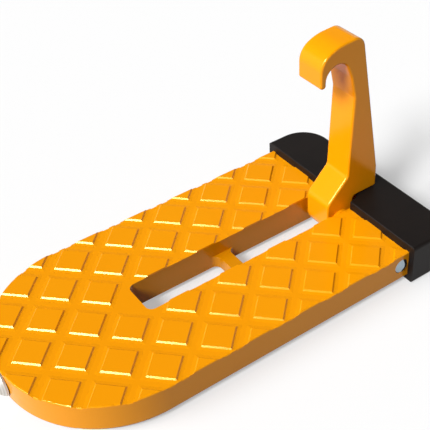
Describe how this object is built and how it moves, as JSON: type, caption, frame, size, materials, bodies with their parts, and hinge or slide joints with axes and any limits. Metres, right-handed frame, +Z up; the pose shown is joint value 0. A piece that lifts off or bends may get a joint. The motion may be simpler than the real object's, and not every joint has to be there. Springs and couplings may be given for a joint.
{
  "type": "car door latch step",
  "caption": "Hook-on foothold for a car's door latch loop: a round-ended studded tread plate with a folding hook, a rubber rear cap and a pointed nose.",
  "frame": {"origin": "middle of the footprint, on the plane the step's rubber cap rests on", "axes": "+X from the rounded nose to the rubber cap, +Y across the plate, +Z up along the raised hook"},
  "size_m": [0.1684, 0.085, 0.0843],
  "materials": {
    "plate_coat": "satin orange-yellow powder coat on die-cast aluminium",
    "hook_coat": "satin orange-yellow powder coat on die-cast aluminium",
    "cap_rubber": "matt black moulded rubber",
    "pin_steel": "bright plated steel",
    "tip_steel": "ground hardened steel"
  },
  "bodies": {
    "step": {"step_plate": "plate_coat", "rubber_cap": "cap_rubber", "pivot_pin": "pin_steel", "breaker_tip": "tip_steel"},
    "hook": {"hook_arm": "hook_coat"}
  },
  "joints": [
    {"name": "hook_fold", "type": "hinge", "parent": "step", "child": "hook", "pos_m": [0.0608, 0, 0.0085], "axis": [0, -1, 0], "range_deg": [0, 97]}
  ]
}
